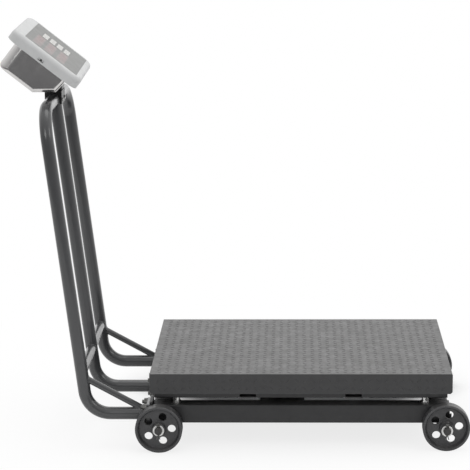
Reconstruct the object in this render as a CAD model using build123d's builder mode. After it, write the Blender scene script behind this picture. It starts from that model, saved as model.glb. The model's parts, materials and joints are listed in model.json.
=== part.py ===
from build123d import *
from math import cos, radians, sin, tan
import os

# Platform shipping scale on four cast wheels.  Millimetres, +Z up, floor at Z 0.
# +X runs from the hand rail towards the free end of the bed, +Y from the front to the back.
# The origin is on the floor, under the middle of the whole footprint.

# ---- driving dimensions -------------------------------------------------------------------
bed_x = 175.47           # middle of the bed along X
deck_l, deck_w = 800, 600
deck_top = 205           # top of the checker plate, from the floor
deck_t = 4               # plate thickness
skirt_t = 3
skirt_h = 54
skirt_cut = 5            # cropped lower corners of the folded skirts

tube_50, wall = 50, 3    # square tube of both frames
base_l, base_w = 785, 560
base_bottom = 65
end_member_h = 40
cross_w, cross_h, cross_t = 120, 30, 5
axle_plate_w, axle_plate_h, axle_plate_z = 40, 34, 58
cross_x = bed_x - 50

upper_l, upper_w = 776, 566
upper_bottom = 135
upper_rail_w = 30
beam_x = 140             # the two front-to-back beams, either side of the middle
cell_plate_bottom, cell_plate_t = 143, 8
stop_x, stop_y = 330, 255      # overload stop screws, from the middle of the bed

cell_l, cell_w, cell_h = 150, 40, 40
cell_bottom = 99
cell_bolt_x = (40, 60)   # bolt rows, from the middle of the cell
spacer_t = 4

axle_d = 19.8
axle_z = 62.5
axle_end = 352           # axle ends, from the middle of the bed
axle_xs = (bed_x - 375, bed_x + 384)
wheel_d, wheel_w = 125, 34
wheel_bore = 19.96
wheel_outer = 338        # outer faces of the wheels along Y
wheel_play = 18          # one wheel has slid this far inboard along its axle
hub_proud = 2            # hub faces stand this far out of the rim faces

tube_d, tube_t = 33.7, 3.2   # round tube of the hand rail
rail_y = 265
run_z = 88               # height of the tubes where they leave the bed
rake = 6.9               # the uprights lean back by this many degrees
lean_x0 = bed_x - 558.0  # centre line of the uprights carried down to the floor
rail_top = 900
lower_bend, upper_bend = 68, 85
crossbar_z, crossbar_d = 198, 26
brace_d = 17
brace_top_z, brace_low_x = 189, bed_x - 421
pad_plate_t, flange_t = 8, 8
flange_w, flange_h = 74, 58
flange_z = 93
pad_mid_z = 95.5
stud_d = 10
stud_dy, stud_dz = 27, 19

saddle_w, saddle_l = 46, 76
saddle_top = 924
foot_bottom = 927.3      # underside of the head's foot
nipple_d, nipple_bore = 20, 12

head_tilt = 38.4         # slope of the face, from the horizontal
head_turn = 1.3          # the head stands this far round on its pivot
head_x, head_z = bed_x - 658.3, 1034.6
bezel_top, bezel_low = -118, 104      # ends of the bezel, down the slope from the overlay's middle
bezel_half, bezel_h = 195, 30
bezel_r, bezel_edge_r, bezel_t = 36, 12, 3
overlay_l, overlay_half, overlay_t = 168, 172, 1
shell_half, shell_t = 182, 1.2
shell_back_u, shell_front_u, shell_deep = -94, 71, -107
heel_u, toe_u = 20, 68   # the level foot face of the shell runs between these
seat_n = -24             # underside of the bezel's ledge, along the face normal

window_l, window_w = 26, 160          # along the slope, across the face
window_rows, window_y = (-49, -12, 27), -72
key_l, key_w = 17, 34
key_rows, key_cols = (-42.5, -19, 4.5, 28), (33, 71)
key_gap = 0.4                            # clear space around a key in the face
key_back, key_skirt, key_top, key_stem = -4.5, 1.3, 0.8, 3.6
shell_corner_r, shell_rim_r = 28, 11     # upright back corners, and the rims of both sides


def rail_x(z):
    """Centre line of the leaning uprights at height z."""
    return lean_x0 - tan(radians(rake)) * z


def save(part, label):
    part.label = label
    export_step(part, f"parts/{label}.step")


def frame_tube(plane, w, h, length):
    """Square or rectangular tube, w by h outside, extruded both ways from the plane."""
    with BuildPart() as tube:
        with BuildSketch(plane):
            RectangleRounded(w, h, 4)
            RectangleRounded(w - 2 * wall, h - 2 * wall, 1.5, mode=Mode.SUBTRACT)
        extrude(amount=length / 2, both=True)
    return tube.part


def along_x(x, y, z):
    return Plane(origin=(x, y, z), x_dir=(0, 1, 0), z_dir=(1, 0, 0))


def along_y(x, y, z):
    return Plane(origin=(x, y, z), x_dir=(1, 0, 0), z_dir=(0, -1, 0))


def hex_bolt(plane, shank_d, shank_l, across, head_h):
    """Hex head standing on the plane, shank running down from it."""
    with BuildPart() as bolt:
        with BuildSketch(plane):
            RegularPolygon(across / 2, 6, major_radius=False)
        extrude(amount=head_h)
        with BuildSketch(plane):
            Circle(shank_d / 2)
        extrude(amount=-shank_l)
    return bolt.part


os.makedirs("parts", exist_ok=True)

# ---- base frame -----------------------------------------------------------------------------
base_mid = base_bottom + tube_50 / 2
rail_in = base_w / 2 - tube_50
base_left = bed_x - base_l / 2
base_right = bed_x + base_l / 2
end_z = base_bottom + tube_50 - end_member_h / 2

with BuildPart() as axle_holes:
    for axle_x in axle_xs:
        with BuildSketch(along_y(axle_x, 0, axle_z)):
            Circle(axle_d / 2 + 0.1)
        extrude(amount=base_w / 2, both=True)

with BuildPart() as cable_hole:
    with BuildSketch(along_x(base_left - 20, 0, run_z)):
        Circle(8)
    extrude(amount=80)


def base_rail(side):
    """Front or back rail, notched for the axles and drilled for the overload stops."""
    with BuildPart() as rail:
        add(frame_tube(along_x(bed_x, side * (base_w - tube_50) / 2, base_mid), tube_50, tube_50, base_l))
        add(axle_holes.part, mode=Mode.SUBTRACT)
        with Locations(*[(bed_x + x, side * stop_y, base_bottom + tube_50) for x in (-stop_x, stop_x)]):
            Cylinder(5.95, 30, mode=Mode.SUBTRACT)
    return rail.part


def base_end(side):
    with BuildPart() as member:
        end_x = bed_x + side * (base_l - tube_50) / 2
        add(frame_tube(along_y(end_x, 0, end_z), tube_50, end_member_h, 2 * rail_in))
        add(cable_hole.part, mode=Mode.SUBTRACT)
    return member.part


save(Compound([base_rail(-1), base_rail(1), base_end(-1), base_end(1)]), "base_frame")

with BuildPart() as cell_channel:
    with BuildSketch(along_y(cross_x, 0, base_bottom + cross_h / 2)):
        Rectangle(cross_w, cross_h)
        with Locations((0, -cross_t)):
            Rectangle(cross_w - 2 * cross_t, cross_h, mode=Mode.SUBTRACT)
    extrude(amount=rail_in, both=True)
    with Locations(*[(bed_x - x, 0, base_bottom + cross_h) for x in cell_bolt_x]):
        Cylinder(4.5, 20, mode=Mode.SUBTRACT)
save(cell_channel.part, "cell_channel")

with BuildPart() as axle_plates:
    for axle_x in axle_xs:
        for side in (-1, 1):
            with BuildSketch(along_y(axle_x, side * (rail_in - 4), axle_plate_z)):
                Rectangle(axle_plate_w, axle_plate_h)
            extrude(amount=4, both=True)
    add(axle_holes.part, mode=Mode.SUBTRACT)
save(axle_plates.part, "axle_plates")


def stud_grid(r):
    """Four stud positions at the foot of each of the three rail tubes."""
    with BuildSketch() as grid:
        with GridLocations(rail_y, 0, 3, 1):
            with GridLocations(2 * stud_dy, 2 * stud_dz, 2, 2):
                Circle(r)
    return grid.sketch


with BuildPart() as rail_pads:
    with BuildSketch(along_x(base_left - pad_plate_t, 0, pad_mid_z)):
        with GridLocations(rail_y, 0, 3, 1):
            RectangleRounded(flange_w - 4, 67, 4)
    extrude(amount=pad_plate_t)
    with BuildSketch(along_x(base_left - pad_plate_t, 0, flange_z)):
        add(stud_grid(stud_d / 2))
    extrude(amount=pad_plate_t, mode=Mode.SUBTRACT)
    add(cable_hole.part, mode=Mode.SUBTRACT)
save(rail_pads.part, "rail_pads")

with BuildPart() as base_end_caps:
    for y in (-1, 1):
        with BuildSketch(along_x(base_right, y * (base_w - tube_50) / 2, base_mid)):
            RectangleRounded(tube_50, tube_50, 4)
        extrude(amount=2.5)
        with BuildSketch(along_x(base_right, y * (base_w - tube_50) / 2, base_mid)):
            RectangleRounded(tube_50 - 2 * wall - 0.4, tube_50 - 2 * wall - 0.4, 1.4)
        extrude(amount=-12)
    with BuildSketch(along_y(axle_xs[1], 0, axle_z)):
        Circle(axle_d / 2 + 0.4)
    extrude(amount=base_w / 2, both=True, mode=Mode.SUBTRACT)
save(base_end_caps.part, "base_end_caps")

# ---- axles, wheels and their retainers --------------------------------------------------------
cotter_y = axle_end - 6
cotter_d = 3.2
eye_r = 3.8


def axle(x):
    with BuildPart() as rod:
        with BuildSketch(along_y(x, 0, axle_z)):
            Circle(axle_d / 2)
        extrude(amount=axle_end, both=True)
        chamfer(rod.edges().filter_by(GeomType.CIRCLE), 1.2)
        with Locations((x, -cotter_y, axle_z), (x, cotter_y, axle_z)):
            Cylinder(cotter_d / 2 + 0.1, 30, mode=Mode.SUBTRACT)
    return rod.part


def wheel(x, outer_y, turn):
    """Cast wheel: rim, recessed web with five round holes, long hub.  outer_y is its outer face."""
    side = 1 if outer_y > 0 else -1
    mid_y = outer_y - side * wheel_w / 2
    half = wheel_w / 2
    with BuildPart() as cast:
        with BuildSketch(Plane(origin=(x, mid_y, axle_z), x_dir=(1, 0, 0), z_dir=(0, 0, 1))) as section:
            with BuildLine():
                Polyline(
                    (wheel_bore / 2, -half - hub_proud), (17, -half - hub_proud), (19, -4),
                    (52, -3.5), (56, -half), (wheel_d / 2 - 1.5, -half), (wheel_d / 2, -half + 1.5),
                    (wheel_d / 2, half - 1.5), (wheel_d / 2 - 1.5, half), (56, half), (52, 3.5),
                    (19, 4), (17, half + hub_proud), (wheel_bore / 2, half + hub_proud), close=True)
            make_face()
            fillet(section.vertices().group_by(Axis.X)[2:5], 2)
        revolve(axis=Axis((x, mid_y, axle_z), (0, 1, 0)))
        with BuildSketch(along_y(x, mid_y, axle_z)):
            with PolarLocations(34, 5, start_angle=turn):
                Circle(10.75)
        extrude(amount=half, both=True, mode=Mode.SUBTRACT)
    return cast.part


wheels = {
    "wheel_front_left": (axle_xs[0], -wheel_outer, 0),
    "wheel_front_right": (axle_xs[1], -wheel_outer + wheel_play, 4),
    "wheel_back_left": (axle_xs[0], wheel_outer, 25),
    "wheel_back_right": (axle_xs[1], wheel_outer, 50),
}
for name, (x, outer_y, turn) in wheels.items():
    save(wheel(x, outer_y, turn), name)
for name, x in zip(("axle_left", "axle_right"), axle_xs):
    save(axle(x), name)

with BuildPart() as axle_washers:
    for x in axle_xs:
        for side in (-1, 1):
            with BuildSketch(along_y(x, side * (wheel_outer + hub_proud + 1.7), axle_z)):
                Circle(15)
                Circle(axle_d / 2 + 0.4, mode=Mode.SUBTRACT)
            extrude(amount=1.25, both=True)
save(axle_washers.part, "axle_washers")


def cotter(x, y):
    """Split pin: straight shank through the axle, round eye on top, legs bent apart below."""
    out = 1 if y > 0 else -1
    with BuildPart() as pin:
        with BuildSketch(Plane.XY.offset(axle_z - 12)):
            with Locations((x, y)):
                Circle(cotter_d / 2)
        extrude(amount=24)
        with Locations((x, y, axle_z + 12 + eye_r)):
            Torus(eye_r, cotter_d / 2 + 0.1, rotation=(90, 0, 0))
        for way in (-1, 1):
            leg = Plane(origin=(x, y, axle_z - 9), z_dir=(way * 4, out * 1.2, -13))
            with BuildSketch(leg):
                Circle(1.25)
            extrude(amount=14)
    return pin.part


with BuildPart() as cotter_pins:
    for x in axle_xs:
        for side in (-1, 1):
            add(cotter(x, side * cotter_y))
save(cotter_pins.part, "cotter_pins")

# ---- load cell between the two frames ---------------------------------------------------------
cell_top = cell_bottom + cell_h
with BuildPart() as load_cell:
    with Locations((bed_x, 0, cell_bottom + cell_h / 2)):
        Box(cell_l, cell_w, cell_h)
    chamfer(load_cell.edges().filter_by(Axis.Z), 1)
    # the two linked eyes that let the middle of the block flex
    with BuildSketch(along_y(bed_x, 0, cell_bottom + cell_h / 2)):
        with Locations((-14, 0), (14, 0)):
            Circle(14.5)
        Rectangle(28, 12)
    extrude(amount=cell_w, both=True, mode=Mode.SUBTRACT)
    with Locations(*[(bed_x - x, 0, cell_bottom) for x in cell_bolt_x]):
        Cylinder(4, 48, mode=Mode.SUBTRACT)
    with Locations(*[(bed_x + x, 0, cell_top) for x in cell_bolt_x]):
        Cylinder(4, 48, mode=Mode.SUBTRACT)
save(load_cell.part, "load_cell")


def cell_spacer(x, z):
    with BuildPart() as spacer:
        with BuildSketch(Plane(origin=(x, 0, z))):
            Rectangle(46, cell_w)
            with Locations((-10, 0), (10, 0)):
                Circle(4.5, mode=Mode.SUBTRACT)
        extrude(amount=spacer_t)
    return spacer.part


spacer_x = sum(cell_bolt_x) / 2
with BuildPart() as cell_spacers:
    add(cell_spacer(bed_x - spacer_x, cell_bottom - spacer_t))
    add(cell_spacer(bed_x + spacer_x, cell_top))
save(cell_spacers.part, "cell_spacers")


with BuildPart() as cell_bolts:
    for x in cell_bolt_x:
        down = Plane(origin=(bed_x - x, 0, base_bottom + cross_h - cross_t), z_dir=(0, 0, -1))
        add(hex_bolt(down, 8, 28, 13, 5.3))
        up = Plane(origin=(bed_x + x, 0, cell_plate_bottom + cell_plate_t))
        add(hex_bolt(up, 8, 28, 13, 5.3))
save(cell_bolts.part, "cell_bolts")

# ---- upper frame and the deck -----------------------------------------------------------------
upper_mid = upper_bottom + tube_50 / 2
upper_top = upper_bottom + tube_50
gap = 2 * beam_x - tube_50
outer = upper_l / 2 - beam_x - tube_50 / 2
upper_members = [frame_tube(along_y(bed_x + side * beam_x, 0, upper_mid), tube_50, tube_50, upper_w)
                 for side in (-1, 1)]
for side in (-1, 1):
    y = side * (upper_w - upper_rail_w) / 2
    upper_members.append(frame_tube(along_x(bed_x, y, upper_mid), upper_rail_w, tube_50, gap))
    for way in (-1, 1):
        x = bed_x + way * (upper_l - outer) / 2
        upper_members.append(frame_tube(along_x(x, y, upper_mid), upper_rail_w, tube_50, outer))
    end_x = bed_x + side * (upper_l - upper_rail_w) / 2
    end_len = upper_w - 2 * upper_rail_w
    upper_members.append(frame_tube(along_y(end_x, 0, upper_mid), upper_rail_w, tube_50, end_len))
save(Compound(upper_members), "upper_frame")

with BuildPart() as cell_plate:
    with BuildSketch(Plane(origin=(bed_x, 0, cell_plate_bottom))):
        Rectangle(gap, 140)
        with Locations(*[(x, 0) for x in cell_bolt_x]):
            Circle(4.5, mode=Mode.SUBTRACT)
    extrude(amount=cell_plate_t)
save(cell_plate.part, "cell_plate")

with BuildPart() as overload_stops:
    for x in (bed_x - stop_x, bed_x + stop_x):
        for y in (-stop_y, stop_y):
            seat = base_bottom + tube_50
            add(hex_bolt(Plane(origin=(x, y, seat)), 11.9, 14, 19, 7))
            with Locations((x, y, seat + 12)):
                Cylinder(8, 12)
save(overload_stops.part, "overload_stops")

deck_under = deck_top - deck_t
pad_x, pad_y = upper_l / 2 - 40, (upper_w - upper_rail_w) / 2
pad_sites = [(bed_x + sx * x, sy * y) for sx in (-1, 1) for sy in (-1, 1)
             for x, y in ((pad_x, pad_y), (beam_x, 90))]
with BuildPart() as deck_pads:
    with BuildSketch(Plane.XY.offset(upper_top)):
        with Locations(*pad_sites):
            Circle(12.5)
    extrude(amount=deck_under - upper_top)
save(deck_pads.part, "deck_pads")

with BuildPart() as deck_pan:
    with BuildSketch(Plane(origin=(bed_x, 0, deck_top - skirt_h))):
        Rectangle(deck_l, deck_w)
    extrude(amount=skirt_h)
    fillet(deck_pan.faces().sort_by(Axis.Z)[-1].edges(), 3)
    with BuildSketch(Plane(origin=(bed_x, 0, deck_top - skirt_h))):
        Rectangle(deck_l - 2 * skirt_t, deck_w - 2 * skirt_t)
    extrude(amount=skirt_h - deck_t, mode=Mode.SUBTRACT)
    low = deck_top - skirt_h
    for sx in (-1, 1):
        with BuildSketch(along_y(bed_x + sx * deck_l / 2, 0, low)):
            with BuildLine():
                Polyline((0, 0), (-sx * skirt_cut, 0), (0, skirt_cut), close=True)
            make_face()
        extrude(amount=deck_w, both=True, mode=Mode.SUBTRACT)
save(deck_pan.part, "deck_pan")

# ---- hand rail ----------------------------------------------------------------------------------
foot_x = base_left - pad_plate_t            # outer face of the pads
tube_end = foot_x - flange_t


def tube_along(points, radii, d, t):
    with BuildPart() as tube:
        with BuildLine() as path:
            FilletPolyline(*points, radius=radii)
        with BuildSketch(path.line ^ 0):
            Circle(d / 2)
            if t:
                Circle(d / 2 - t, mode=Mode.SUBTRACT)
        sweep(path=path.line)
    return tube.part


def rail_points(y, z_end):
    return [(tube_end, y, run_z), (rail_x(run_z), y, run_z), (rail_x(z_end), y, z_end)]


loop_points = rail_points(-rail_y, rail_top) + rail_points(rail_y, rail_top)[::-1]
loop = tube_along(loop_points, [lower_bend, upper_bend, upper_bend, lower_bend], tube_d, tube_t)
top_x = rail_x(rail_top)
with BuildPart() as rail_loop:
    add(loop)
    # cable way up into the pivot, and down into the centre post
    with Locations((top_x, 0, rail_top + tube_d / 2)):
        Cylinder(nipple_d / 2 + 0.1, 20, mode=Mode.SUBTRACT)
    with Locations((top_x, 0, rail_top - tube_d / 2)):
        Cylinder(6, 14, mode=Mode.SUBTRACT)
save(rail_loop.part, "rail_loop")

with BuildPart() as centre_post:
    add(tube_along(rail_points(0, rail_top), [lower_bend], tube_d, tube_t))
    with Locations((top_x, 0, rail_top)):
        Cylinder(tube_d / 2, 200, rotation=(90, 0, 0), mode=Mode.SUBTRACT)
    # nothing of the post is left above the loop
    with Locations((top_x, 0, rail_top + 25)):
        Box(80, 80, 50, mode=Mode.SUBTRACT)
save(centre_post.part, "centre_post")

with BuildPart() as rail_crossbars:
    bar_x = rail_x(crossbar_z)
    for side in (-1, 1):
        with BuildSketch(along_y(bar_x, 0, crossbar_z)):
            Circle(crossbar_d / 2)
            Circle(crossbar_d / 2 - 2.5, mode=Mode.SUBTRACT)
        extrude(amount=-side * rail_y)
    for y in (-rail_y, 0, rail_y):
        with Locations((bar_x, y, crossbar_z)):
            Cylinder(tube_d / 2, 120, rotation=(0, -rake, 0), mode=Mode.SUBTRACT)
save(rail_crossbars.part, "rail_crossbars")


def brace(y):
    """Round bar from the upright down to the run of the same tube."""
    top_z, low_x, low_z = brace_top_z, brace_low_x, run_z + 13
    with BuildPart() as bar:
        with BuildLine() as path:
            Line((rail_x(top_z), y, top_z), (low_x, y, low_z))
        with BuildSketch(path.line ^ 0):
            Circle(brace_d / 2)
        sweep(path=path.line)
        add(loop, mode=Mode.SUBTRACT)
        with Locations((rail_x(top_z), y, top_z)):
            Cylinder(tube_d / 2 - 0.5, 120, rotation=(0, -rake, 0), mode=Mode.SUBTRACT)
        with Locations((low_x, y, run_z)):
            Cylinder(tube_d / 2 - 0.5, 120, rotation=(0, 90, 0), mode=Mode.SUBTRACT)
    return bar.part


with BuildPart() as rail_braces:
    add(brace(-rail_y))
    add(brace(rail_y))
save(rail_braces.part, "rail_braces")

with BuildPart() as rail_flanges:
    with BuildSketch(along_x(tube_end, 0, flange_z)):
        with GridLocations(rail_y, 0, 3, 1):
            RectangleRounded(flange_w, flange_h, 4)
        add(stud_grid(stud_d / 2 + 0.5), mode=Mode.SUBTRACT)
    extrude(amount=flange_t)
    with BuildSketch(along_x(tube_end, 0, run_z)):
        Circle(8)
    extrude(amount=flange_t, mode=Mode.SUBTRACT)
save(rail_flanges.part, "rail_flanges")

stud_out = flange_t + 16
with BuildPart() as rail_studs:
    with BuildSketch(along_x(foot_x - stud_out, 0, flange_z)):
        add(stud_grid(stud_d / 2))
    extrude(amount=stud_out + pad_plate_t)
save(rail_studs.part, "rail_studs")

nut_washer_t, nut_h = 2, 8.4
with BuildPart() as rail_nuts:
    with BuildSketch(along_x(tube_end - nut_washer_t, 0, flange_z)):
        add(stud_grid(10))
        add(stud_grid(stud_d / 2), mode=Mode.SUBTRACT)
    extrude(amount=nut_washer_t)
    with BuildSketch(along_x(tube_end - nut_washer_t - nut_h, 0, flange_z)):
        with GridLocations(rail_y, 0, 3, 1):
            with GridLocations(2 * stud_dy, 2 * stud_dz, 2, 2):
                RegularPolygon(8.5, 6, major_radius=False)
        add(stud_grid(stud_d / 2), mode=Mode.SUBTRACT)
    extrude(amount=nut_h)
save(rail_nuts.part, "rail_nuts")

# ---- cable from the load cell, up inside the centre post ------------------------------------------
cable_d = 6
cable_points = [
    (bed_x - cell_l / 2, 0, 119), (bed_x - 130, 0, 119), (bed_x - 190, 0, run_z),
    (rail_x(run_z), 0, run_z), (top_x, 0, rail_top), (top_x, 0, 962),
]
with BuildPart() as load_cell_cable:
    with BuildLine() as route:
        FilletPolyline(*cable_points, radius=[30, 30, lower_bend, 60])
    with BuildSketch(route.line ^ 0):
        Circle(cable_d / 2)
    sweep(path=route.line)
save(load_cell_cable.part, "load_cell_cable")

# ---- saddle and pivot that carry the head ----------------------------------------------------------
head = Plane(
    origin=(head_x, 0, head_z),
    x_dir=(cos(radians(head_tilt)) * cos(radians(head_turn)),
           cos(radians(head_tilt)) * sin(radians(head_turn)), -sin(radians(head_tilt))),
    z_dir=(sin(radians(head_tilt)) * cos(radians(head_turn)),
           sin(radians(head_tilt)) * sin(radians(head_turn)), cos(radians(head_tilt))))
pivot = Plane(origin=(top_x, 0, 0))
turned = Plane(origin=(top_x, 0, 0),
               x_dir=(cos(radians(head_turn)), sin(radians(head_turn)), 0), z_dir=(0, 0, 1))
side = Plane(origin=head.origin, x_dir=head.x_dir, z_dir=-head.y_dir)
foot_top = head_z - heel_u * sin(radians(head_tilt)) + shell_deep * cos(radians(head_tilt))
toe_n = shell_deep + (toe_u - heel_u) * tan(radians(head_tilt))
ledge = 15
flange_n = seat_n - 2                      # top of the shell's flange, under the gasket
bezel_mid = (bezel_top + bezel_low) / 2
bezel_l = bezel_low - bezel_top
screw_sites = [(bezel_mid + su * (bezel_l / 2 - 9), w) for su in (-1, 1) for w in (-110, 0, 110)]
screw_sites += [(bezel_mid + u, sw * (bezel_half - 9)) for sw in (-1, 1) for u in (-55, 55)]
saddle_low = 888
saddle_wall = (saddle_w - tube_d) / 2 - 0.2
run_top = rail_top + tube_d / 2
with BuildPart() as post_saddle:
    with BuildSketch(along_y(top_x, 0, 0)):
        with Locations((0, (saddle_top + saddle_low) / 2)):
            Rectangle(saddle_w, saddle_top - saddle_low)
        with Locations((0, rail_top)):
            Circle(tube_d / 2, mode=Mode.SUBTRACT)
        with Locations((0, rail_top - 10)):
            Rectangle(tube_d, 20, mode=Mode.SUBTRACT)
    extrude(amount=saddle_l / 2, both=True)
    # room for the centre post, which meets the loop under the middle of the saddle
    with Locations((top_x, 0, rail_top)):
        Cylinder(tube_d / 2 + 0.2, 120, rotation=(0, -rake, 0), mode=Mode.SUBTRACT,
                 align=(Align.CENTER, Align.CENTER, Align.MAX))
    with Locations((top_x, 0, run_top)):
        Cylinder(nipple_d / 2, 40, mode=Mode.SUBTRACT)
    with Locations(*[(top_x + saddle_w / 2, y, rail_top) for y in (-28, 28)]):
        Cylinder(2.5, 16, rotation=(0, 90, 0), mode=Mode.SUBTRACT)
save(post_saddle.part, "post_saddle")

with BuildPart() as saddle_screws:
    for y in (-28, 28):
        out = Plane(origin=(top_x + saddle_w / 2, y, rail_top), z_dir=(1, 0, 0))
        add(hex_bolt(out, 4.8, saddle_wall, 8, 3.5))
save(saddle_screws.part, "saddle_screws")

nipple_low, nipple_top = 905, 958
with BuildPart() as pivot_nipple:
    with BuildSketch(pivot.offset(nipple_low)):
        Circle(nipple_d / 2)
        Circle(nipple_bore / 2, mode=Mode.SUBTRACT)
    extrude(amount=nipple_top - nipple_low)
save(pivot_nipple.part, "pivot_nipple")

with BuildPart() as friction_washer:
    with BuildSketch(pivot.offset(saddle_top)):
        Circle(21)
        Circle(nipple_d / 2 + 0.1, mode=Mode.SUBTRACT)
    extrude(amount=3)
save(friction_washer.part, "friction_washer")

shell_floor = foot_top + shell_t
with BuildPart() as pivot_nut:
    with BuildSketch(pivot.offset(shell_floor + 0.3)):
        Circle(16)
        Circle(nipple_d / 2, mode=Mode.SUBTRACT)
    extrude(amount=1.5)
    with BuildSketch(pivot.offset(shell_floor + 1.8)):
        RegularPolygon(14, 6, major_radius=False)
        Circle(nipple_d / 2, mode=Mode.SUBTRACT)
    extrude(amount=8)
save(pivot_nut.part, "pivot_nut")

# ---- head: stainless shell on a foot ------------------------------------------------------------------
with BuildPart() as head_foot:
    with BuildSketch(turned.offset(foot_bottom)):
        RectangleRounded(saddle_w, saddle_l, 6)
        Circle(nipple_d / 2 + 0.08, mode=Mode.SUBTRACT)
    extrude(amount=foot_top - foot_bottom)
save(head_foot.part, "head_foot")


def shell_solid(inset, top_n):
    """Shell body shrunk by inset all round: a side profile extruded across the face."""
    with BuildPart() as body:
        with BuildSketch(side):
            with BuildLine():
                Polyline(
                    (shell_back_u, top_n), (shell_back_u, shell_deep), (heel_u, shell_deep),
                    (toe_u, toe_n), (shell_front_u, -42), (shell_front_u, top_n), close=True)
            make_face()
            if inset:
                offset(amount=-inset, kind=Kind.INTERSECTION)
        extrude(amount=shell_half - inset, both=True)
        upright = body.edges().filter_by(Axis(head.origin, head.z_dir))
        fillet(upright.sort_by(Axis(head.origin, head.x_dir))[:2], shell_corner_r - inset)
        rim = []
        for edge in body.edges():
            u, w, n = (edge.center() - head.origin).dot(head.x_dir), \
                (edge.center() - head.origin).dot(head.y_dir), (edge.center() - head.origin).dot(head.z_dir)
            beside = abs(w) > shell_half - inset - 0.1
            if beside and n < top_n - 2 and abs(u - shell_back_u - shell_corner_r) > 0.5:
                rim.append(edge)
        fillet(rim, shell_rim_r - inset)
    return body.part


# the back wall of the shell holds a charger jack and a rocker switch
back_wall = Plane(origin=head.from_local_coords((shell_back_u, 0, -60)), x_dir=head.y_dir, z_dir=-head.x_dir)
jack_w, switch_w = 70, 112
with BuildPart() as head_shell:
    add(shell_solid(0, flange_n))
    with BuildSketch(head.offset(flange_n - shell_t)):
        with Locations((bezel_mid, 0)):
            RectangleRounded(bezel_l - 9, 2 * bezel_half - 9, bezel_r - 5)
    extrude(amount=shell_t)
    add(shell_solid(shell_t, flange_n + 5), mode=Mode.SUBTRACT)
    with BuildSketch(turned.offset(foot_top - 5)):
        Circle(nipple_d / 2 + 0.1)
    extrude(amount=10, mode=Mode.SUBTRACT)
    with BuildSketch(back_wall.offset(-4)):
        with Locations((jack_w, 0)):
            Circle(6)
        with Locations((switch_w, 0)):
            Rectangle(19.2, 13.2)
    extrude(amount=8, mode=Mode.SUBTRACT)
    with BuildSketch(head.offset(flange_n - 5)):
        with Locations(*screw_sites):
            Circle(2.2)
    extrude(amount=8, mode=Mode.SUBTRACT)
save(head_shell.part, "head_shell")

with BuildPart() as charger_socket:
    with BuildSketch(back_wall.offset(-16)):
        with Locations((jack_w, 0)):
            Circle(5.9)
    extrude(amount=17.5)
    with BuildSketch(back_wall):
        with Locations((jack_w, 0)):
            Circle(8)
    extrude(amount=2)
    with BuildSketch(back_wall.offset(-9)):
        with Locations((jack_w, 0)):
            Circle(3.2)
            Circle(1, mode=Mode.SUBTRACT)
    extrude(amount=11, mode=Mode.SUBTRACT)
save(charger_socket.part, "charger_socket")

rocker_l, rocker_w, rocker_depth = 15, 9, 9
rocker_tilt = 8          # switched off, the rocker leans this far one way
rocker_side = Plane(origin=back_wall.from_local_coords((switch_w, 0, 0)), x_dir=head.y_dir, z_dir=head.z_dir)
with BuildPart() as switch_body:
    with BuildSketch(back_wall):
        with Locations((switch_w, 0)):
            RectangleRounded(22, 16, 1.5)
    extrude(amount=2)
    with BuildSketch(back_wall):
        with Locations((switch_w, 0)):
            Rectangle(19, 13)
    extrude(amount=-14)
    with BuildSketch(back_wall.offset(2)):
        with Locations((switch_w, 0)):
            Rectangle(rocker_l + 1, rocker_w + 0.8)
    extrude(amount=-rocker_depth - 1.5, mode=Mode.SUBTRACT)
    with BuildSketch(rocker_side):
        Circle(1.05)
    extrude(amount=rocker_w / 2 + 1.5, both=True, mode=Mode.SUBTRACT)
save(switch_body.part, "switch_body")

with BuildPart() as power_rocker:
    with BuildSketch(rocker_side * Rotation(0, 0, rocker_tilt)):
        with BuildLine():
            Polyline((-rocker_l / 2, 3.4), (0, 2.2), (rocker_l / 2, 3.4), (rocker_l / 2, -1.5),
                     (2, -5.5), (-2, -5.5), (-rocker_l / 2, -1.5), close=True)
        make_face()
    extrude(amount=rocker_w / 2, both=True)
    with BuildSketch(rocker_side):
        Circle(1)
    extrude(amount=rocker_w / 2 + 1.4, both=True)
save(power_rocker.part, "power_rocker")

# ---- bezel, gasket and the face ---------------------------------------------------------------------
def key_sites():
    return [(u, w) for w in key_cols for u in key_rows]


def window_sites():
    return [(u, window_y) for u in window_rows]


with BuildPart() as bezel:
    with BuildSketch(head.offset(-bezel_h)):
        with Locations((bezel_mid, 0)):
            RectangleRounded(bezel_l, 2 * bezel_half, bezel_r)
    extrude(amount=bezel_h)
    fillet(bezel.faces().sort_by(Axis(head.origin, head.z_dir))[-1].edges(), bezel_edge_r)
    with BuildSketch(head.offset(-bezel_h)):
        with Locations((bezel_mid, 0)):
            RectangleRounded(bezel_l - 2 * bezel_t, 2 * (bezel_half - bezel_t), bezel_r - bezel_t)
    extrude(amount=bezel_h + seat_n, mode=Mode.SUBTRACT)
    with BuildSketch(head.offset(seat_n)):
        with Locations((bezel_mid, 0)):
            RectangleRounded(bezel_l - 2 * ledge, 2 * (bezel_half - ledge), bezel_r - ledge)
    extrude(amount=-seat_n - bezel_t, mode=Mode.SUBTRACT)
    with BuildSketch(head.offset(-overlay_t)):
        RectangleRounded(overlay_l + 0.4, 2 * overlay_half + 0.4, 3)
    extrude(amount=overlay_t, mode=Mode.SUBTRACT)
    with BuildSketch(head.offset(-bezel_t - 1)):
        with Locations(*window_sites()):
            Rectangle(window_l, window_w)
        with Locations(*key_sites()):
            Rectangle(key_l + 2 * key_gap, key_w + 2 * key_gap)
    extrude(amount=bezel_t + 1, mode=Mode.SUBTRACT)
    with BuildSketch(head.offset(seat_n)):
        with Locations(*screw_sites):
            Circle(2)
    extrude(amount=12, mode=Mode.SUBTRACT)
    # sealing pocket on the side next to the front upright
    with Locations(head * Location((-13, -bezel_half, -22))):
        Box(18, 6, 7, mode=Mode.SUBTRACT)
save(bezel.part, "bezel")

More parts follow.
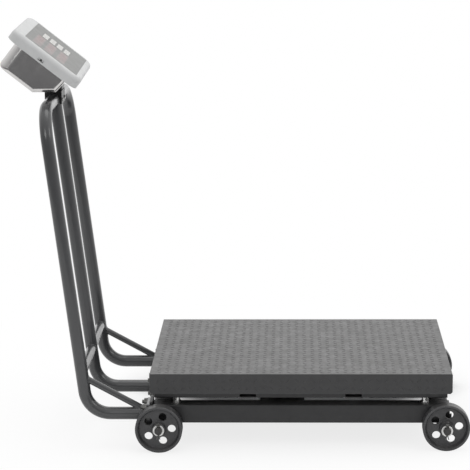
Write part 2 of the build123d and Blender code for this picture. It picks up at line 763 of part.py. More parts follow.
seal_place = head.from_local_coords((-13, -bezel_half + 3, -22))
seal_axis = Plane(origin=seal_place, x_dir=head.x_dir, z_dir=-head.y_dir)
with BuildPart() as seal_screw:
    with BuildSketch(seal_axis):
        Circle(2.8)
    extrude(amount=2)
    with BuildSketch(seal_axis.offset(2)):
        Rectangle(6, 0.9)
    extrude(amount=-0.9, mode=Mode.SUBTRACT)
save(seal_screw.part, "seal_screw")

with BuildPart() as bezel_gasket:
    with BuildSketch(head.offset(flange_n)):
        with Locations((bezel_mid, 0)):
            RectangleRounded(bezel_l - 9, 2 * bezel_half - 9, bezel_r - 5)
            RectangleRounded(bezel_l - 2 * ledge, 2 * (bezel_half - ledge), bezel_r - ledge,
                             mode=Mode.SUBTRACT)
        with Locations(*screw_sites):
            Circle(2.2, mode=Mode.SUBTRACT)
    extrude(amount=seat_n - flange_n)
save(bezel_gasket.part, "bezel_gasket")

with BuildPart() as bezel_screws:
    for u, w in screw_sites:
        seat = head.from_local_coords((u, w, flange_n - shell_t))
        under = Plane(origin=seat, x_dir=head.x_dir, z_dir=-head.z_dir)
        with BuildSketch(under):
            Circle(3.8)
        extrude(amount=2.4)
        with BuildSketch(under):
            Circle(2)
        extrude(amount=-12)
save(bezel_screws.part, "bezel_screws")

with BuildPart() as face_overlay:
    with BuildSketch(head.offset(-overlay_t)):
        RectangleRounded(overlay_l, 2 * overlay_half, 3)
        with Locations(*window_sites()):
            Rectangle(window_l, window_w, mode=Mode.SUBTRACT)
        with Locations(*key_sites()):
            Rectangle(key_l + 2 * key_gap, key_w + 2 * key_gap, mode=Mode.SUBTRACT)
    extrude(amount=overlay_t)
save(face_overlay.part, "face_overlay")

with BuildPart() as display_windows:
    with BuildSketch(head.offset(-overlay_t - 0.6)):
        with Locations(*window_sites()):
            Rectangle(window_l, window_w)
    extrude(amount=overlay_t + 0.5)
save(display_windows.part, "display_windows")

board_top = -12.4
with BuildPart() as display_board:
    with BuildSketch(head.offset(board_top - 1.6)):
        with Locations((bezel_mid, 0)):
            RectangleRounded(bezel_l - 2 * ledge - 4, 2 * (bezel_half - ledge) - 4, bezel_r - ledge - 1)
            with GridLocations(bezel_l - 2 * ledge - 24, 2 * (bezel_half - ledge) - 24, 2, 2):
                Circle(1.7, mode=Mode.SUBTRACT)
    extrude(amount=1.6)
save(display_board.part, "display_board")

with BuildPart() as led_modules:
    with BuildSketch(head.offset(board_top)):
        with Locations(*window_sites()):
            Rectangle(window_l - 3, window_w - 8)
    extrude(amount=8)
save(led_modules.part, "led_modules")

with BuildPart() as key_switches:
    with BuildSketch(head.offset(board_top)):
        with Locations(*key_sites()):
            Rectangle(6, 6)
    extrude(amount=2.2)
    with BuildSketch(head.offset(board_top)):
        with Locations(*key_sites()):
            Circle(1.7)
    extrude(amount=2.8)
save(key_switches.part, "key_switches")


def key(u, w):
    """Key cap with a retaining skirt behind the face and a stem over its switch."""
    with BuildPart() as cap:
        with BuildSketch(head.offset(key_back)):
            with Locations((u, w)):
                RectangleRounded(key_l + 2.4, key_w + 2.4, 1.5)
        extrude(amount=key_skirt)
        with BuildSketch(head.offset(key_back)):
            with Locations((u, w)):
                RectangleRounded(key_l, key_w, 1.2)
        extrude(amount=key_top - key_back)
        chamfer(cap.faces().sort_by(Axis(head.origin, head.z_dir))[-1].edges(), 0.4)
        with BuildSketch(head.offset(key_back)):
            with Locations((u, w)):
                Circle(2)
        extrude(amount=-key_stem)
    return cap.part


for number, (u, w) in enumerate(key_sites(), 1):
    save(key(u, w), f"key_{number}")

with BuildPart() as battery:
    with Locations(head * Location((-46, -100, -74.5))):
        Box(70, 101, 47)
save(battery.part, "battery")

with BuildPart() as battery_bracket:
    with Locations(head * Location((-46, -100, -50.4))):
        Box(74, 20, 1.2)
    with Locations(head * Location((-10.4, -100, -75.7))):
        Box(1.2, 20, 50)
    with Locations(head * Location((0, -100, -100.1))):
        Box(22, 20, 1.2)
save(battery_bracket.part, "battery_bracket")

lead_end = head.from_local_coords((14.7, 0, board_top - 1.8))
with BuildPart() as head_lead:
    with BuildLine() as route:
        FilletPolyline((top_x, 0, 964.5), (top_x, 0, 1000), tuple(lead_end), radius=[20])
    with BuildSketch(route.line ^ 0):
        Circle(2.5)
    sweep(path=route.line)
save(head_lead.part, "head_lead")
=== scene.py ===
import json
from math import cos, pi, radians, sin, sqrt

import bmesh
import bpy
from mathutils import Matrix, Vector


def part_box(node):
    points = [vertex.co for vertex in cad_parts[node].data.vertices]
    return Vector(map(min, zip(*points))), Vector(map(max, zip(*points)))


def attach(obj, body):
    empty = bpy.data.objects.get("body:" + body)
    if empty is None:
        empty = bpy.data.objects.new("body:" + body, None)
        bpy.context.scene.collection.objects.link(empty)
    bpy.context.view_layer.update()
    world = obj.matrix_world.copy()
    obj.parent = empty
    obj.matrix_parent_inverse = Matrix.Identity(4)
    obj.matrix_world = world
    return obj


# Looks of a platform shipping scale.  Metres, +Z up, +X from the hand rail to the free end.

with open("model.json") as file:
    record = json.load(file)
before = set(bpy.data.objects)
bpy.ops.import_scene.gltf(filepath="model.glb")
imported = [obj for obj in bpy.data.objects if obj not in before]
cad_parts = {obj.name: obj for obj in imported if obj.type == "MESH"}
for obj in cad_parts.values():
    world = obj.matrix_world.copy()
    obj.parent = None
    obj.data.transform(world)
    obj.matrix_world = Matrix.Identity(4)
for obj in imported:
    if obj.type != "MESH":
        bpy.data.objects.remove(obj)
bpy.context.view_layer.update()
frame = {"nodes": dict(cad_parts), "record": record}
nodes = frame["nodes"]
record = frame["record"]
MM = 0.001

# ---- the object's own places, from the frame ------------------------------------------------
deck_lo, deck_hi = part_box("deck_pan")
bed_x = (deck_lo.x + deck_hi.x) / 2
rail_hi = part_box("rail_loop")[1]
bar_lo, bar_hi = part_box("rail_crossbars")
flange_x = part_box("rail_flanges")[0].x
post_lo, post_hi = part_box("centre_post")
overlay_lo, overlay_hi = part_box("face_overlay")

head_tilt, head_turn = radians(38.4), radians(1.3)
face_u = Vector((cos(head_tilt) * cos(head_turn), cos(head_tilt) * sin(head_turn), -sin(head_tilt)))
face_n = Vector((sin(head_tilt) * cos(head_turn), sin(head_tilt) * sin(head_turn), cos(head_tilt)))
face_w = face_n.cross(face_u)
overlay_t = 1 * MM
face_origin = (overlay_lo + overlay_hi) / 2 + face_n * overlay_t / 2


def on_face(u, w, n=0.0):
    """A point of the head: u down the slope, w across to the reader's right, n out of the face (mm)."""
    return face_origin + (face_u * u + face_w * w + face_n * n) * MM


# ---- camera, floor and light ------------------------------------------------------------------
cam_yaw, cam_pitch, cam_roll = radians(-1.743), radians(-11.602), radians(-0.449)
cam_data = bpy.data.cameras.new("camera")
cam_data.lens, cam_data.sensor_width = 152.88, 36
cam = bpy.data.objects.new("camera", cam_data)
bpy.context.scene.collection.objects.link(cam)
cam.location = (bed_x - 0.0157, -5.3807, 1.6235)
heading = Matrix.Rotation(-cam_yaw, 3, "Z")
tip = Matrix.Rotation(cam_pitch + pi / 2, 3, "X")
cam.rotation_euler = (heading @ tip @ Matrix.Rotation(cam_roll, 3, "Z")).to_euler()
cam_data.clip_end = 60
bpy.context.scene.camera = cam


def area_light(name, place, target, size, watts):
    data = bpy.data.lights.new(name, "AREA")
    data.shape, data.size, data.energy = "DISK", size, watts
    lamp = bpy.data.objects.new(name, data)
    bpy.context.scene.collection.objects.link(lamp)
    lamp.location = place
    lamp.rotation_euler = (Vector(target) - Vector(place)).to_track_quat("-Z", "Y").to_euler()


area_light("softbox_top", (0.2, 0.5, 3.4), (0.1, 0, 0.3), 2.4, 20)
area_light("softbox_back", (0.2, 2.8, 1.6), (0.1, 0.3, 0.3), 2.2, 3)
area_light("softbox_front", (-1.6, -4.0, 2.4), (-0.3, 0, 0.6), 1.8, 26)
area_light("softbox_right", (3.0, -1.6, 2.4), (0, 0, 0.5), 1.6, 14)


def new_nodes(tree):
    """A maker of nodes in an emptied tree; i_Name sets the input called Name."""
    tree.nodes.clear()

    def make(kind, **values):
        node = tree.nodes.new(kind)
        for key, value in values.items():
            if key.startswith("i_"):
                node.inputs[key[2:].replace("_", " ")].default_value = value
            else:
                setattr(node, key, value)
        return node
    return make


def remap(node, link, value, bounds, **settings):
    """Carries a value from one range to another: bounds are from low, from high, to low, to high."""
    mapped = node("ShaderNodeMapRange", **settings)
    for key, bound in zip(("From Min", "From Max", "To Min", "To Max"), bounds):
        mapped.inputs[key].default_value = bound
    link(value, mapped.inputs["Value"])
    return mapped.outputs[0]


def product(node, link, first, second):
    times = node("ShaderNodeMath", operation="MULTIPLY")
    link(first, times.inputs[0])
    link(second, times.inputs[1])
    return times.outputs[0]


world = bpy.data.worlds.new("studio")
bpy.context.scene.world = world
world.use_nodes = True
make = new_nodes(world.node_tree)
join = world.node_tree.links.new
sky_out = make("ShaderNodeOutputWorld")
sky_mix = make("ShaderNodeMixShader")
sky_white = make("ShaderNodeBackground", i_Color=(1, 1, 1, 1), i_Strength=1.0)
sky_room = make("ShaderNodeBackground", i_Strength=1.0)
sky_way = make("ShaderNodeTexCoord")
sky_dot = make("ShaderNodeVectorMath", operation="DOT_PRODUCT")
sky_dot.inputs[1].default_value = (0.1, 0.55, 0.8)
sky_ramp = make("ShaderNodeValToRGB")
room_dark, room_white = sky_ramp.color_ramp.elements
room_dark.position, room_dark.color = 0.0, (0.16, 0.16, 0.165, 1)
room_white.position, room_white.color = 0.75, (1, 1, 1, 1)
sky_shift = make("ShaderNodeMath", operation="MULTIPLY_ADD")
sky_shift.inputs[1].default_value, sky_shift.inputs[2].default_value = 0.6, 0.42
sky_path = make("ShaderNodeLightPath")
join(sky_way.outputs["Generated"], sky_dot.inputs[0])
join(sky_dot.outputs["Value"], sky_shift.inputs[0])
join(sky_shift.outputs[0], sky_ramp.inputs[0])
join(sky_ramp.outputs["Color"], sky_room.inputs["Color"])
join(sky_path.outputs["Is Camera Ray"], sky_mix.inputs[0])
join(sky_room.outputs[0], sky_mix.inputs[1])
join(sky_white.outputs[0], sky_mix.inputs[2])
join(sky_mix.outputs[0], sky_out.inputs[0])

bpy.context.scene.view_settings.view_transform = "Standard"
bpy.context.scene.view_settings.look = "None"


# ---- materials ------------------------------------------------------------------------------------
def blended(node, link, factor, first, second):
    """A colour that goes from first, a link or a colour, to the colour second."""
    mix = node("ShaderNodeMix", data_type="RGBA")
    if isinstance(first, tuple):
        mix.inputs["A"].default_value = (*first, 1)
    else:
        link(first, mix.inputs["A"])
    mix.inputs["B"].default_value = (*second, 1)
    link(factor, mix.inputs["Factor"])
    return mix.outputs["Result"]


def dust_factor(node, link, smear, amount):
    """Dust lies where the surface faces up."""
    normal = node("ShaderNodeNewGeometry")
    split = node("ShaderNodeSeparateXYZ")
    link(normal.outputs["Normal"], split.inputs[0])
    facing_up = remap(node, link, split.outputs["Z"], (0.55, 1.0, 0.0, amount))
    return product(node, link, facing_up, smear)


def wear_factor(node, link, smear, amount, width):
    """Paint rubs off along edges, in patches."""
    true_normal = node("ShaderNodeNewGeometry")
    round_normal = node("ShaderNodeBevel", samples=4, i_Radius=width * MM)
    match = node("ShaderNodeVectorMath", operation="DOT_PRODUCT")
    link(true_normal.outputs["Normal"], match.inputs[0])
    link(round_normal.outputs[0], match.inputs[1])
    edge = remap(node, link, match.outputs["Value"], (0.99, 0.86, 0.0, 1.0))
    chips = remap(node, link, smear, (0.47, 0.62, 0.0, amount))
    return product(node, link, edge, chips)


def surface(name, color, rough, metallic=0.0, coat=0.0, coat_rough=0.1, tint=None, tint_scale=14.0,
            grain=900.0, grain_depth=0.02, stretch=(1, 1, 1), rough_range=0.12, dust=0.0, wear=0.0,
            wear_width=1.2, specular=0.5):
    """Painted, moulded or machined surface: cloudy colour, uneven gloss, fine relief, dust and worn edges."""
    mat = bpy.data.materials.new(name)
    mat.use_nodes = True
    node = new_nodes(mat.node_tree)
    link = mat.node_tree.links.new
    out = node("ShaderNodeOutputMaterial")
    bsdf = node("ShaderNodeBsdfPrincipled", i_Metallic=metallic, i_Coat_Weight=coat,
                i_Coat_Roughness=coat_rough, i_Specular_IOR_Level=specular)
    link(bsdf.outputs[0], out.inputs[0])
    coord = node("ShaderNodeTexCoord")
    mapping = node("ShaderNodeMapping", i_Scale=stretch)
    link(coord.outputs["Object"], mapping.inputs[0])
    cloud = node("ShaderNodeTexNoise", i_Scale=tint_scale, i_Detail=6.0, i_Roughness=0.62)
    link(coord.outputs["Object"], cloud.inputs["Vector"])
    fine = node("ShaderNodeTexNoise", i_Scale=grain, i_Detail=3.0, i_Roughness=0.6)
    link(mapping.outputs[0], fine.inputs["Vector"])
    smear = node("ShaderNodeTexNoise", i_Scale=46.0, i_Detail=5.0, i_Roughness=0.7)
    link(coord.outputs["Object"], smear.inputs["Vector"])

    second = tint or tuple(c * 0.72 for c in color)
    tone = blended(node, link, remap(node, link, cloud.outputs["Fac"], (0.35, 0.7, 0.0, 0.8)), color, second)
    if dust:
        tone = blended(node, link, dust_factor(node, link, smear.outputs["Fac"], dust), tone, dust_color)
    if wear:
        rubbed = wear_factor(node, link, smear.outputs["Fac"], wear, wear_width)
        tone = blended(node, link, rubbed, tone, bare_color)
    low, high = max(rough - rough_range, 0.03), min(rough + rough_range, 1)
    link(tone, bsdf.inputs["Base Color"])
    link(remap(node, link, smear.outputs["Fac"], (0.3, 0.7, low, high)), bsdf.inputs["Roughness"])
    bump = node("ShaderNodeBump", i_Strength=1.0, i_Distance=grain_depth * MM)
    link(fine.outputs["Fac"], bump.inputs["Height"])
    link(bump.outputs[0], bsdf.inputs["Normal"])
    return mat


dust_color, bare_color = (0.30, 0.29, 0.275), (0.32, 0.32, 0.33)
finishes = {
    "frame_paint": surface("frame_paint", (0.024, 0.024, 0.025), 0.45, coat=0.2, coat_rough=0.25,
                           grain=700, grain_depth=0.03, dust=0.2, wear=0.4, specular=0.35),
    "rail_paint": surface("rail_paint", (0.040, 0.041, 0.043), 0.34, coat=0.6, coat_rough=0.1,
                          tint=(0.034, 0.035, 0.037), rough_range=0.06, grain=420, grain_depth=0.008,
                          dust=0.06, wear=0.12),
    "deck_paint": surface("deck_paint", (0.027, 0.027, 0.028), 0.42, coat=0.12, coat_rough=0.3,
                          tint=(0.022, 0.022, 0.023), tint_scale=9, grain=600, grain_depth=0.03,
                          dust=0.16, wear=0.4, wear_width=1.6),
    "wheel_paint": surface("wheel_paint", (0.042, 0.042, 0.044), 0.45, coat=0.25, coat_rough=0.25,
                           grain=380, grain_depth=0.12, dust=0.25, wear=0.5),
    "axle_steel": surface("axle_steel", (0.075, 0.075, 0.075), 0.42, metallic=1.0, tint=(0.05, 0.046, 0.043),
                          tint_scale=60, grain=1500, grain_depth=0.02, stretch=(1, 0.06, 1)),
    "zinc_plate": surface("zinc_plate", (0.66, 0.66, 0.65), 0.3, metallic=1.0, tint=(0.52, 0.515, 0.50),
                          tint_scale=120, grain=1200, grain_depth=0.02),
    "cell_aluminium": surface("cell_aluminium", (0.72, 0.73, 0.74), 0.33, metallic=1.0, tint_scale=40,
                              grain=1600, grain_depth=0.03, stretch=(0.05, 1, 1)),
    "rubber_black": surface("rubber_black", (0.018, 0.018, 0.018), 0.8, grain=1500, grain_depth=0.05),
    "cable_black": surface("cable_black", (0.022, 0.022, 0.022), 0.55, grain=900, grain_depth=0.04),
    "black_steel": surface("black_steel", (0.006, 0.006, 0.006), 0.42, coat=0.2, grain=700,
                           grain_depth=0.03, wear=0.25, specular=0.3),
    "stainless": surface("stainless", (0.62, 0.61, 0.60), 0.16, metallic=1.0, tint=(0.56, 0.55, 0.545),
                         rough_range=0.05, grain=1800, grain_depth=0.004, stretch=(0.03, 1, 0.03)),
    "bezel_grey": surface("bezel_grey", (0.55, 0.555, 0.555), 0.45, tint=(0.50, 0.505, 0.503), tint_scale=20,
                          grain=1400, grain_depth=0.03, rough_range=0.07, specular=0.25),
    "seal_metal": surface("seal_metal", (0.10, 0.10, 0.10), 0.4, metallic=1.0, grain=1200),
    "overlay_film": surface("overlay_film", (0.25, 0.252, 0.246), 0.5, tint=(0.225, 0.226, 0.22),
                            tint_scale=30, grain=2200, grain_depth=0.02, rough_range=0.06, specular=0.12),
    "window_red": surface("window_red", (0.235, 0.20, 0.197), 0.35, tint=(0.245, 0.195, 0.19), tint_scale=40,
                          grain=1800, grain_depth=0.01, rough_range=0.05, specular=0.12),
    "key_white": surface("key_white", (0.62, 0.615, 0.60), 0.5, tint=(0.57, 0.56, 0.54), tint_scale=90,
                         grain=1500, grain_depth=0.03, specular=0.15),
    "board_green": surface("board_green", (0.02, 0.14, 0.05), 0.4, tint=(0.015, 0.10, 0.04),
                           tint_scale=200, grain=1500),
    "part_black": surface("part_black", (0.02, 0.02, 0.022), 0.5, grain=1300, grain_depth=0.04),
}
led_red = surface("led_red", (0.31, 0.165, 0.16), 0.35, tint=(0.28, 0.17, 0.165), grain=1500)
dull_zinc = surface("dull_zinc", (0.17, 0.17, 0.165), 0.45, metallic=1.0, tint=(0.09, 0.088, 0.083),
                    tint_scale=120, grain=1200, grain_depth=0.02)
tread_paint = surface("tread_paint", (0.026, 0.026, 0.027), 0.42, coat=0.12, coat_rough=0.3,
                      tint=(0.022, 0.022, 0.023), tint_scale=9, grain=600, grain_depth=0.03, dust=0.16)
legend_ink = surface("legend_ink", (0.30, 0.30, 0.31), 0.5, grain=1500)
overlay_ink = surface("overlay_ink", (0.20, 0.20, 0.20), 0.45, grain=1500)

for part in record["subparts"]:
    shown = nodes[part["node"]]
    shown.data.materials.clear()
    shown.data.materials.append(finishes[part["material_slot"]])
for name in ("rail_studs", "rail_nuts", "cotter_pins"):
    nodes[name].data.materials[0] = dull_zinc


# ---- meshes -----------------------------------------------------------------------------------------
def piece(name, body, verts, faces, mat, smooth=True):
    """A mesh that rides on a body, with outward faces."""
    mesh = bpy.data.meshes.new(name)
    mesh.from_pydata(verts, [], faces)
    mesh.validate()
    tidy = bmesh.new()
    tidy.from_mesh(mesh)
    bmesh.ops.recalc_face_normals(tidy, faces=tidy.faces)
    tidy.to_mesh(mesh)
    tidy.free()
    for polygon in mesh.polygons:
        polygon.use_smooth = smooth
    made = bpy.data.objects.new(name, mesh)
    bpy.context.scene.collection.objects.link(made)
    made.data.materials.append(mat)
    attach(made, body)
    return made


class Soup:
    """Vertices and faces of one piece, gathered shape by shape."""

    def __init__(self):
        self.verts, self.faces = [], []

    def rings(self, rings, closed_path=False, caps=True):
        """A skin over rings of equal length, with its ends closed."""
        base, count = len(self.verts), len(rings[0])
        for ring in rings:
            self.verts.extend(ring)
        spans = len(rings) if closed_path else len(rings) - 1
        for i in range(spans):
            a, b = base + i * count, base + (i + 1) % len(rings) * count
            for j in range(count):
                k = (j + 1) % count
                self.faces.append((a + j, a + k, b + k, b + j))
        if caps and not closed_path:
            self.faces.append(tuple(range(base, base + count))[::-1])
            self.faces.append(tuple(range(len(self.verts) - count, len(self.verts))))

    def slab(self, outline, low, high):
        """An outline, drawn on the head's face, standing between two heights above it (mm)."""
        self.rings([[on_face(u, w, low) for u, w in outline], [on_face(u, w, high) for u, w in outline]])

    def bead(self, path, radius, closed=False, ripple=0.2):
        """Weld bead: a round cord along the path whose size pulses as the weld was laid."""
        rings = []
        for i, here in enumerate(path):
            after = path[(i + 1) % len(path)] if closed or i + 1 < len(path) else here
            before = path[i - 1] if closed or i else here
            way = (after - before).normalized()
            side = way.cross(Vector((0.31, 0.17, 0.93))).normalized()
            rise = way.cross(side)
            size = radius * (1 + ripple * sin(i * pi / 2))
            rings.append([here + (side * cos(a) + rise * sin(a)) * size
                          for a in (j * pi / 4 for j in range(8))])
        self.rings(rings, closed_path=closed)

    def to_piece(self, name, body, mat, smooth=True):
        return piece(name, body, self.verts, self.faces, mat, smooth)


# ---- checker plate: low lens-shaped lugs, turned alternately, on the deck and its skirts --------------
lug_pitch = 21.5 * MM
lug_l, lug_w, lug_h = 16 * MM, 5.4 * MM, 0.7 * MM
lug_sides, lug_root = 12, 0.1 * MM        # lens outline, and how deep it starts in the plate
lug_rings = ((1.0, 0.0), (0.86, 0.55), (0.62, 0.85), (0.3, 1.0))


def lug(soup, place, along, across, out):
    """One raised lens: rings that shrink as they rise."""
    outline = []
    for i in range(lug_sides):
        a = 2 * pi * i / lug_sides
        swell = (1 - cos(a) ** 2) ** 0.8 * (1 if sin(a) > 0 else -1)
        outline.append((cos(a) * lug_l / 2, swell * lug_w / 2))
    rings = []
    for scale, height in lug_rings:
        rings.append([place + along * s * scale + across * t * scale + out * (height * lug_h - lug_root)
                      for s, t in outline])
    soup.rings(rings)


def tread(soup, corner, along, across, length, width, out, margin):
    """Lugs over one flat face, in a square pattern of alternating slant."""
    columns = int((length - 2 * margin) / lug_pitch)
    rows = max(int((width - 2 * margin) / lug_pitch), 1)
    for i in range(columns + 1):
        for j in range(rows + 1):
            x = length / 2 + (i - columns / 2) * lug_pitch
            y = width / 2 + (j - rows / 2) * lug_pitch
            slant = radians(45 if (i + j) % 2 else -45)
            way = along * cos(slant) + across * sin(slant)
            lug(soup, corner + along * x + across * y, way, out.cross(way), out)


X, Y, Z = Vector((1, 0, 0)), Vector((0, 1, 0)), Vector((0, 0, 1))
deck_size = deck_hi - deck_lo
deck_margin = 14 * MM
skirt_h = deck_size.z - 4 * MM
top_tread = Soup()
top_corner = Vector((deck_lo.x, deck_lo.y, deck_hi.z))
tread(top_tread, top_corner, X, Y, deck_size.x, deck_size.y, Z, deck_margin)
top_tread.to_piece("deck_tread", "deck", tread_paint)
right_back, right_front = Vector((deck_hi.x, deck_hi.y, deck_lo.z)), Vector((deck_hi.x, deck_lo.y, deck_lo.z))
left_back = Vector((deck_lo.x, deck_hi.y, deck_lo.z))
skirt_tread = Soup()
tread(skirt_tread, deck_lo, X, Z, deck_size.x, skirt_h, -Y, deck_margin)
tread(skirt_tread, right_back, -X, Z, deck_size.x, skirt_h, Y, deck_margin)
tread(skirt_tread, right_front, Y, Z, deck_size.y, skirt_h, X, deck_margin)
tread(skirt_tread, left_back, -Y, Z, deck_size.y, skirt_h, -X, deck_margin)
skirt_tread.to_piece("skirt_tread", "deck", tread_paint)

# ---- weld beads on the hand rail ---------------------------------------------------------------------------
tube_r, bar_r, brace_r = (post_hi.y - post_lo.y) / 2, 13 * MM, 8.5 * MM
run_z = 88 * MM                           # centre line of the low runs
brace_top_z, brace_low_x, brace_low_z = 189 * MM, bed_x - 421 * MM, run_z + 13 * MM
bar_weld, brace_weld, flange_weld = 2.1 * MM, 1.7 * MM, 2.4 * MM
rake = radians(6.9)
rail_y = rail_hi.y - tube_r
bar_mid = (bar_lo + bar_hi) / 2
upright = Vector((-sin(rake), 0, cos(rake)))


def rail_point(z, y):
    """On the centre line of a leaning upright."""
    return Vector((bar_mid.x - (z - bar_mid.z) * sin(rake) / cos(rake), y, z))


def saddle(start, way, bar_radius, tube_point, tube_way, tube_radius, steps=44):
    """Where a round bar, coming from start along way, meets the outside of a round tube."""
    way = way.normalized()
    side = way.cross(tube_way).normalized()
    rise = way.cross(side)
    path = []
    for i in range(steps):
        a = 2 * pi * i / steps
        base = start + (side * cos(a) + rise * sin(a)) * bar_radius
        gap = base - tube_point
        across = gap - tube_way * gap.dot(tube_way)
        run = way - tube_way * way.dot(tube_way)
        half_b, c = across.dot(run), across.length_squared - tube_radius ** 2
        reach = (-half_b - sqrt(max(half_b ** 2 - run.length_squared * c, 0))) / run.length_squared
        path.append(base + way * reach)
    return path


welds = Soup()
for side in (-1, 1):
    middle = Vector((bar_mid.x, side * rail_y / 2, bar_mid.z))
    outer, post = rail_point(bar_mid.z, side * rail_y), rail_point(bar_mid.z, 0)
    welds.bead(saddle(middle, Y * side, bar_r, outer, upright, tube_r), bar_weld, True)
    welds.bead(saddle(middle, Y * -side, bar_r, post, upright, tube_r), bar_weld, True)
    brace_top = rail_point(brace_top_z, side * rail_y)
    brace_low = Vector((brace_low_x, side * rail_y, brace_low_z))
    brace_mid = (brace_top + brace_low) / 2
    run_axis = Vector((0, side * rail_y, run_z))
    rise = brace_top - brace_low
    welds.bead(saddle(brace_mid, rise, brace_r, brace_top, upright, tube_r, 32), brace_weld, True)
    welds.bead(saddle(brace_mid, -rise, brace_r, run_axis, X, tube_r, 32), brace_weld, True)
for y in (-rail_y, 0, rail_y):
    ring = [Vector((flange_x, y + cos(a) * tube_r, run_z + sin(a) * tube_r))
            for a in (2 * pi * i / 52 for i in range(52))]
    welds.bead(ring, flange_weld, True)
post_end = rail_point(rail_hi.z - tube_r, 0)
below_end = rail_point(rail_hi.z - 120 * MM, 0)
welds.bead(saddle(below_end, upright, tube_r - 0.5 * MM, post_end, Y, tube_r), bar_weld, True)
welds.to_piece("rail_welds", "chassis", finishes["rail_paint"])

# ---- face: digits behind the windows, printed borders and key signs ----------------------------------
window_rows, window_w_mid = (-49, -12, 27), -72
window_l, window_w = 26, 160
digit_h, digit_w, digit_pitch = 15, 8.5, 22
digits_a_row = 6
stroke, bar_play = 1.9, 0.25              # width of a bar, and the gap at each of its ends
slope = 0.12                              # the digits lean a little
digit_low, digit_high = -0.16, -0.05      # within the window's film


def segment_outline(u0, w0, u1, w1):
    """A bar with pointed ends between two corners of a digit."""
    along = Vector((u1 - u0, w1 - w0)).normalized()
    across = Vector((-along.y, along.x)) * stroke / 2
    a, b = Vector((u0, w0)) + along * bar_play, Vector((u1, w1)) - along * bar_play
    tip = along * stroke / 2
    points = [a, a + tip + across, b - tip + across, b, b - tip - across, a + tip - across]
    return [(p.x, p.y) for p in points]


# bars of a digit between its corners (row, side): three level ones, then the four upright ones
level_bars = [((row, 0), (row, 1)) for row in range(3)]
upright_bars = [((row, side), (row + 1, side)) for side in range(2) for row in range(2)]
dash = level_bars[1:2]
zero = level_bars[::2] + upright_bars

digits = Soup()
for row in window_rows:
    for place in range(digits_a_row):
        w0 = window_w_mid + (place - (digits_a_row - 1) / 2) * digit_pitch - digit_w / 2
        lean = slope * digit_h / 2
        corners = {(r, c): (row + (r - 1) * digit_h / 2, w0 + c * digit_w + (1 - r) * lean)
                   for r in range(3) for c in range(2)}
        for a, b in dash if place < 2 else zero:
            digits.slab(segment_outline(*corners[a], *corners[b]), digit_low, digit_high)
digits.to_piece("display_digits", "head", led_red, smooth=False)


def rectangle(u0, w0, u1, w1):
    return [(u0, w0), (u1, w0), (u1, w1), (u0, w1)]


def frame_outline(soup, u, w, half_u, half_w, line, low, high):
    """A thin printed border, as four strips."""
    for sign in (-1, 1):
        inner, outer = sorted((sign * half_u, sign * (half_u + line)))
        soup.slab(rectangle(u + inner, w - half_w - line, u + outer, w + half_w + line), low, high)
        inner, outer = sorted((sign * half_w, sign * (half_w + line)))
        soup.slab(rectangle(u - half_u, w + inner, u + half_u, w + outer), low, high)


print_low, print_high = -0.05, 0.04
borders = Soup()
window_clear = 0.4
half_l, half_w = window_l / 2 + window_clear, window_w / 2 + window_clear
for row in window_rows:
    frame_outline(borders, row, window_w_mid, half_l, half_w, 1.0, print_low, print_high)
frame_outline(borders, 0, 0, 78, 168, 0.8, print_low, print_high)
borders.to_piece("overlay_borders", "head", overlay_ink, smooth=False)

key_rows, key_cols, key_top = (-42.5, -19, 4.5, 28), (33, 71), 0.8
bar = rectangle(-0.8, -5, 0.8, 5)
stripe = rectangle(-4, -0.8, 4, 0.8)
block = rectangle(-2.6, -2.6, 2.6, 2.6)
triangle = [(3, -3.5), (-3, 0), (3, 3.5)]
flipped = [(-3, -3.5), (3, 0), (-3, 3.5)]
wedge = [(-3.4, -3), (3.4, -3), (0, 3.4)]
dots = [rectangle(shift - 1.2, -0.8, shift + 1.2, 0.8) for shift in (-2, 2)]
twin_bars = [rectangle(shift - 0.8, -5, shift + 0.8, 5) for shift in (-2.4, 2.4)]
# plain signs, one for each key
signs = ([bar], [triangle], [flipped], [block], dots, [wedge], [stripe], twin_bars)

key_places = [(row, col) for col in key_cols for row in key_rows]
for number, ((row, col), sign) in enumerate(zip(key_places, signs), 1):
    mark = Soup()
    for outline in sign:
        mark.slab([(row + u, col + w) for u, w in outline], key_top - 0.02, key_top + 0.05)
    mark.to_piece(f"legend_{number}", f"key_{number}", legend_ink, smooth=False)

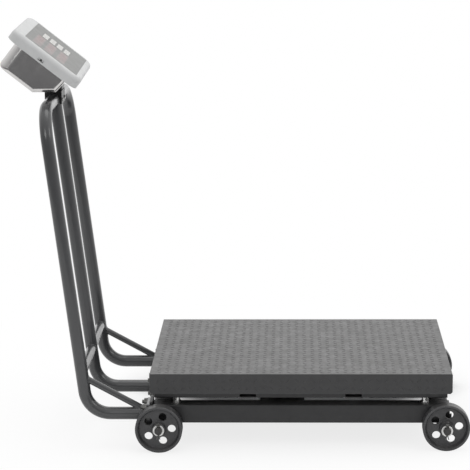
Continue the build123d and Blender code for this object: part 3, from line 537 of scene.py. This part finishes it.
# ---- floor -------------------------------------------------------------------------------------------
floor_r, floor_sides, floor_drop = 3.0, 96, 0.2 * MM
shade_y, shade_half_x, shade_half_y = 0.42, 0.5, 0.36


def studio_floor():
    """White paper with a glow that only the camera sees, full further out and absent behind the bed.

    Where it doesn't glow, the paper shows the light and the shadow that really fall on it."""
    mat = bpy.data.materials.new("studio_floor")
    mat.use_nodes = True
    node = new_nodes(mat.node_tree)
    link = mat.node_tree.links.new
    out = node("ShaderNodeOutputMaterial")
    mixed = node("ShaderNodeMixShader")
    paper = node("ShaderNodeBsdfDiffuse", i_Color=(0.9, 0.9, 0.9, 1))
    light = node("ShaderNodeEmission", i_Color=(1, 1, 1, 1), i_Strength=1.0)
    seen = node("ShaderNodeLightPath")
    coord = node("ShaderNodeTexCoord")
    far = node("ShaderNodeVectorMath", operation="LENGTH")
    link(coord.outputs["Object"], far.inputs[0])
    fade = remap(node, link, far.outputs["Value"], (0.4, 1.3, 0.8, 1.0), interpolation_type="SMOOTHSTEP")
    shade_place = node("ShaderNodeMapping", i_Location=(-bed_x / shade_half_x, -shade_y / shade_half_y, 0),
                       i_Scale=(1 / shade_half_x, 1 / shade_half_y, 1))
    shade_reach = node("ShaderNodeVectorMath", operation="LENGTH")
    link(coord.outputs["Object"], shade_place.inputs[0])
    link(shade_place.outputs[0], shade_reach.inputs[0])
    shade = remap(node, link, shade_reach.outputs["Value"], (0.85, 1.15, 0.0, 1.0),
                  interpolation_type="SMOOTHSTEP")
    glow = product(node, link, product(node, link, fade, shade), seen.outputs["Is Camera Ray"])
    link(glow, mixed.inputs[0])
    link(paper.outputs[0], mixed.inputs[1])
    link(light.outputs[0], mixed.inputs[2])
    link(mixed.outputs[0], out.inputs[0])
    return mat


floor_turns = [2 * pi * i / floor_sides for i in range(floor_sides)]
floor_rim = [Vector((floor_r * cos(a), floor_r * sin(a), -floor_drop)) for a in floor_turns]
floor_mesh = bpy.data.meshes.new("floor")
floor_mesh.from_pydata(floor_rim, [], [tuple(range(floor_sides))])
floor = bpy.data.objects.new("floor", floor_mesh)
bpy.context.scene.collection.objects.link(floor)
floor.data.materials.append(studio_floor())
